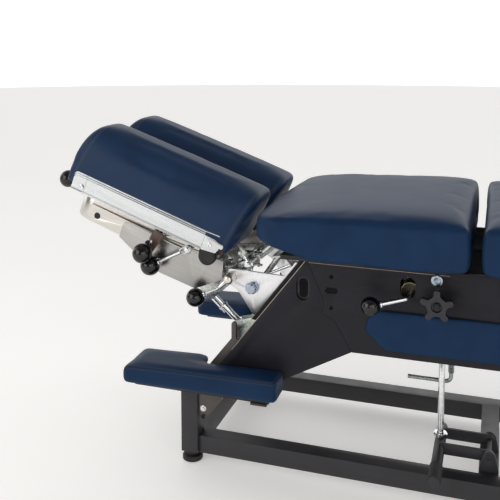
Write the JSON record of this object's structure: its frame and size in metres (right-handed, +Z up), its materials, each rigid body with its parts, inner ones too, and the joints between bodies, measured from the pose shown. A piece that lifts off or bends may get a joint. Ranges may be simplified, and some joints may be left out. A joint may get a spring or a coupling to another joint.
{
  "type": "chiropractic table",
  "caption": "Treatment table with a tilting head section, split face cushions, dropping chest and pelvic cushions, armrests, cocking levers and a foot pedal on a slanted steel nose frame.",
  "frame": {"origin": "centre of the overall box, on the floor", "axes": "+X along the table towards the foot end, -Y the near side with the levers, +Z up"},
  "size_m": [1.8382, 0.5286, 0.7079],
  "materials": {
    "black_paint": "satin powder coat",
    "dark_paint": "satin powder coat",
    "navy_vinyl": "grained upholstery vinyl, soft sheen",
    "panel_vinyl": "moulded, grained",
    "deck_board": "painted plywood",
    "head_board": "varnished plywood",
    "bright_chrome": "polished",
    "pan_steel": "brushed stainless",
    "zinc_steel": "zinc plated",
    "bracket_alloy": "brushed",
    "strap_steel": "satin",
    "ball_plastic": "gloss",
    "knob_plastic": "fine texture",
    "liner_plastic": "matt",
    "foot_rubber": "matt",
    "spring_steel": "bright"
  },
  "bodies": {
    "frame": {"side_plates": "black_paint", "nose_plates": "black_paint", "frame_rails": "dark_paint", "nose_web": "dark_paint", "nose_face_plate": "dark_paint", "leg_braces": "strap_steel", "front_legs": "dark_paint", "rear_legs": "dark_paint", "floor_frame": "dark_paint", "levelling_feet": "foot_rubber", "side_panels": "panel_vinyl", "armrest_pads": "navy_vinyl", "armrest_boards": "deck_board", "armrest_brackets": "strap_steel", "slot_liners": "liner_plastic", "pivot_bracket": "bracket_alloy", "pivot_shaft": "zinc_steel", "frame_bolts": "bright_chrome", "strut_clevis": "zinc_steel", "leg_cushion": "navy_vinyl", "leg_board": "deck_board", "lever_bearings": "zinc_steel", "drop_springs": "spring_steel"},
    "head_frame": {"head_plates": "pan_steel", "head_channel": "zinc_steel", "hinge_block": "zinc_steel", "head_spring": "spring_steel"},
    "head_drop": {"head_pan": "pan_steel", "head_board": "head_board", "head_cushion_near": "navy_vinyl", "head_cushion_far": "navy_vinyl", "clamp_ears": "bright_chrome"},
    "near_bar": {"clamp_bar_near": "bright_chrome"},
    "far_bar": {"clamp_bar_far": "bright_chrome"},
    "clamp_lever": {"clamp_lever": "strap_steel", "clamp_lever_ball": "ball_plastic"},
    "head_lever": {"head_cock_lever": "bright_chrome", "head_cock_ball": "ball_plastic"},
    "tension_knob": {"head_tension_knob": "knob_plastic"},
    "tilt_lock": {"tilt_lock_lever": "bright_chrome", "tilt_lock_ball": "ball_plastic"},
    "plunger": {"end_plunger": "bright_chrome", "end_plunger_ball": "ball_plastic"},
    "strut_lower": {"strut_tube": "bright_chrome"},
    "strut_upper": {"strut_rod": "bright_chrome"},
    "chest": {"chest_cushion": "navy_vinyl", "chest_board": "deck_board", "chest_drop_frame": "dark_paint"},
    "chest_lever": {"chest_cock_lever": "bright_chrome", "chest_cock_ball": "ball_plastic"},
    "chest_star": {"chest_star_knob": "knob_plastic"},
    "pelvic": {"pelvic_cushion": "navy_vinyl", "pelvic_board": "deck_board", "pelvic_drop_frame": "dark_paint"},
    "pelvic_lever": {"pelvic_cock_lever": "bright_chrome", "pelvic_cock_ball": "ball_plastic"},
    "pelvic_star": {"pelvic_star_knob": "knob_plastic"},
    "push_rod": {"push_rod": "bright_chrome"},
    "pedal": {"foot_pedal": "dark_paint"},
    "lock_handle": {"lock_handle": "zinc_steel"}
  },
  "joints": [
    {"name": "head_tilt", "type": "hinge", "parent": "frame", "child": "head_frame", "pos_m": [-0.47893, 0, 0.397], "axis": [0, 1, 0], "range_deg": [-20, 5]},
    {"name": "strut_swing", "type": "hinge", "parent": "frame", "child": "strut_lower", "pos_m": [-0.47093, -0.097, 0.285], "axis": [0, 1, 0], "range_deg": [-0.5, 1.5]},
    {"name": "strut_slide", "type": "slide", "parent": "strut_lower", "child": "strut_upper", "axis": [-0.7344, 0, 0.6787], "range_m": [-0.0269, 0.0068]},
    {"name": "head_drop", "type": "slide", "parent": "head_frame", "child": "head_drop", "axis": [0.342, 0, 0.9397], "range_m": [0, 0.008]},
    {"name": "head_cock", "type": "hinge", "parent": "head_frame", "child": "head_lever", "pos_m": [-0.57033, -0.155, 0.45581], "axis": [0, -1, 0], "range_deg": [0, 35.1]},
    {"name": "near_bar_swing", "type": "hinge", "parent": "head_drop", "child": "near_bar", "pos_m": [-0.66856, -0.1805, 0.51923], "axis": [0.9397, 0, -0.342], "range_deg": [0, 25], "stiffness_Nm_per_rad": 0.8, "springref_deg": -17.19},
    {"name": "far_bar_swing", "type": "hinge", "parent": "head_drop", "child": "far_bar", "pos_m": [-0.66856, 0.1805, 0.51923], "axis": [-0.9397, 0, 0.342], "range_deg": [0, 25], "stiffness_Nm_per_rad": 0.8, "springref_deg": -17.19},
    {"name": "clamp_swing", "type": "hinge", "parent": "head_drop", "child": "clamp_lever", "pos_m": [-0.63183, -0.148, 0.48564], "axis": [0, 1, 0], "range_deg": [0, 25]},
    {"name": "tension_turn", "type": "hinge", "parent": "head_frame", "child": "tension_knob", "pos_m": [-0.52283, -0.155, 0.44597], "axis": [0, 1, 0], "continuous": true},
    {"name": "tilt_lock_swing", "type": "hinge", "parent": "head_frame", "child": "tilt_lock", "pos_m": [-0.47893, -0.15, 0.397], "axis": [0, 1, 0], "range_deg": [0, 30]},
    {"name": "plunger_pull", "type": "slide", "parent": "head_drop", "child": "plunger", "axis": [-0.9397, 0, 0.342], "range_m": [0, 0.012], "stiffness_N_per_m": 600, "springref_m": -0.01},
    {"name": "chest_drop", "type": "hinge", "parent": "frame", "child": "chest", "pos_m": [-0.04393, 0, 0.451], "axis": [0, 1, 0], "range_deg": [0, 1.5]},
    {"name": "chest_cock", "type": "hinge", "parent": "frame", "child": "chest_lever", "pos_m": [-0.09393, -0.06, 0.416], "axis": [-1, 0, 0], "range_deg": [0, 10.1]},
    {"name": "chest_star_turn", "type": "hinge", "parent": "frame", "child": "chest_star", "pos_m": [-0.04093, -0.2, 0.411], "axis": [0, 1, 0], "continuous": true},
    {"name": "pelvic_drop", "type": "hinge", "parent": "frame", "child": "pelvic", "pos_m": [0.39207, 0, 0.451], "axis": [0, 1, 0], "range_deg": [0, 1.5]},
    {"name": "pelvic_cock", "type": "hinge", "parent": "frame", "child": "pelvic_lever", "pos_m": [0.34207, -0.06, 0.416], "axis": [-1, 0, 0], "range_deg": [0, 10.1]},
    {"name": "pelvic_star_turn", "type": "hinge", "parent": "frame", "child": "pelvic_star", "pos_m": [0.39507, -0.2, 0.411], "axis": [0, 1, 0], "continuous": true},
    {"name": "pedal_press", "type": "hinge", "parent": "frame", "child": "pedal", "pos_m": [0.05907, -0.098, 0.0867], "axis": [0, -1, 0], "range_deg": [0, 9], "stiffness_Nm_per_rad": 12, "springref_deg": -17.19},
    {"name": "rod_press", "type": "slide", "parent": "frame", "child": "push_rod", "axis": [0, 0, -1], "range_m": [0, 0.0155]},
    {"name": "handle_turn", "type": "hinge", "parent": "frame", "child": "lock_handle", "pos_m": [-0.01993, -0.074, 0.204], "axis": [0, 0, -1], "range_deg": [0, 90]}
  ],
  "couplings": [
    {"joint": "strut_swing", "follows": "head_tilt", "ratio": -0.07},
    {"joint": "strut_slide", "follows": "head_tilt", "m_per_rad": 0.0766},
    {"joint": "head_cock", "follows": "head_drop", "rad_per_m": 76.36},
    {"joint": "chest_cock", "follows": "chest_drop", "ratio": 6.6667},
    {"joint": "pelvic_cock", "follows": "pelvic_drop", "ratio": 6.6667},
    {"joint": "rod_press", "follows": "pedal_press", "m_per_rad": 0.096}
  ]
}
